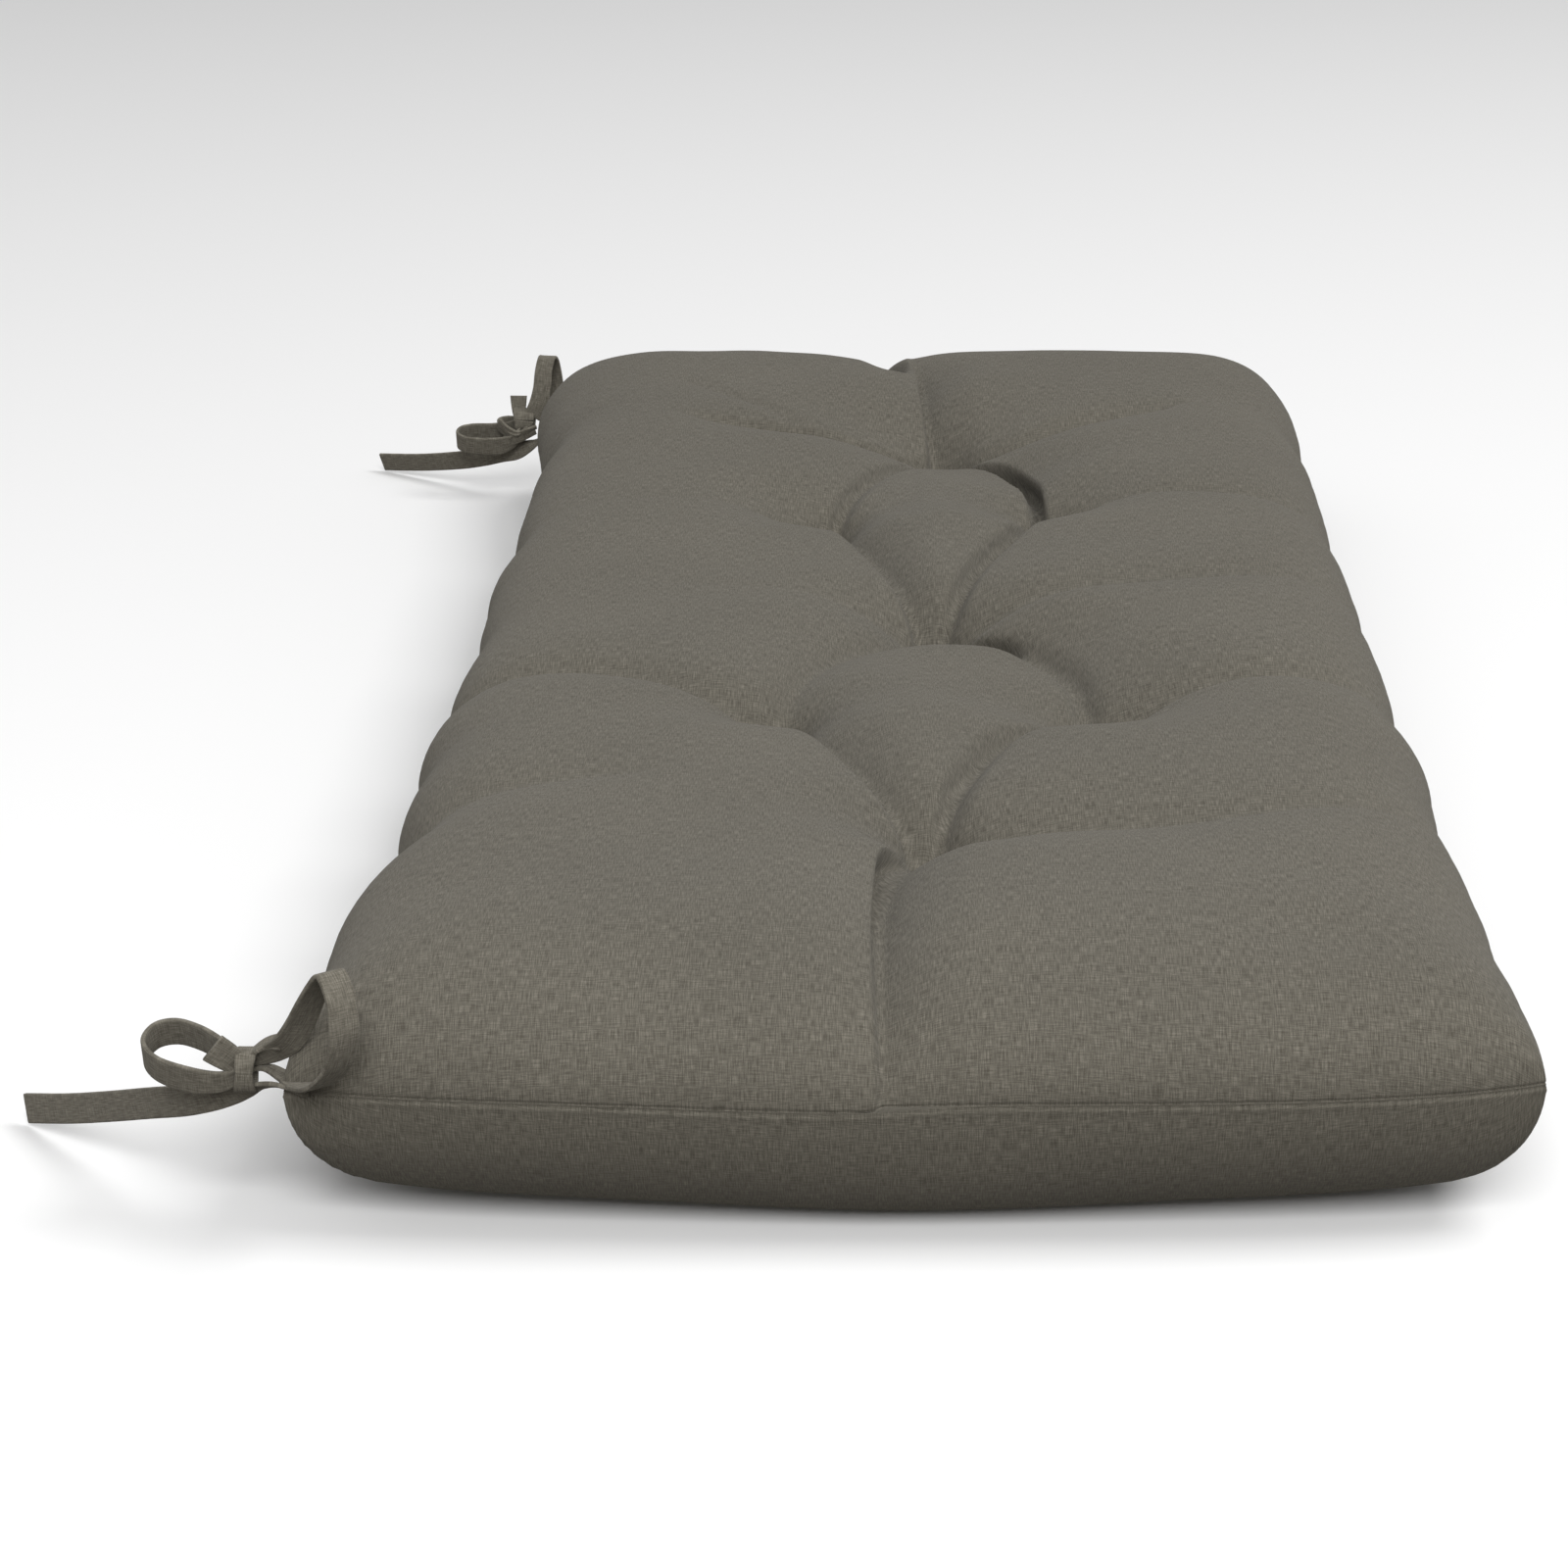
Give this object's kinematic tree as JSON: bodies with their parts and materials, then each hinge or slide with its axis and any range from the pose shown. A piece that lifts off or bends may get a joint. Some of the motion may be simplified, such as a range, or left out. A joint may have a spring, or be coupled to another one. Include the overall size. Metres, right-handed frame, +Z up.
{
  "type": "bench cushion",
  "caption": "Long tufted bench cushion with a puffed crown, drawn-in sides and knotted tape ties at its back corners.",
  "frame": {"origin": "middle of the flat underside", "axes": "+Z up, +Y along the length, +X from the back edge, where the ties are, to the front edge"},
  "size_m": [0.5717, 1.2335, 0.1099],
  "materials": {
    "woven_cover": "matte heathered taupe weave",
    "tie_tape": "matte folded tape of the same weave"
  },
  "bodies": {
    "root": {"cushion": "woven_cover", "tie_near_ring": "tie_tape", "tie_near_tail": "tie_tape", "tie_far_ring": "tie_tape", "tie_far_tail": "tie_tape"}
  },
  "joints": []
}
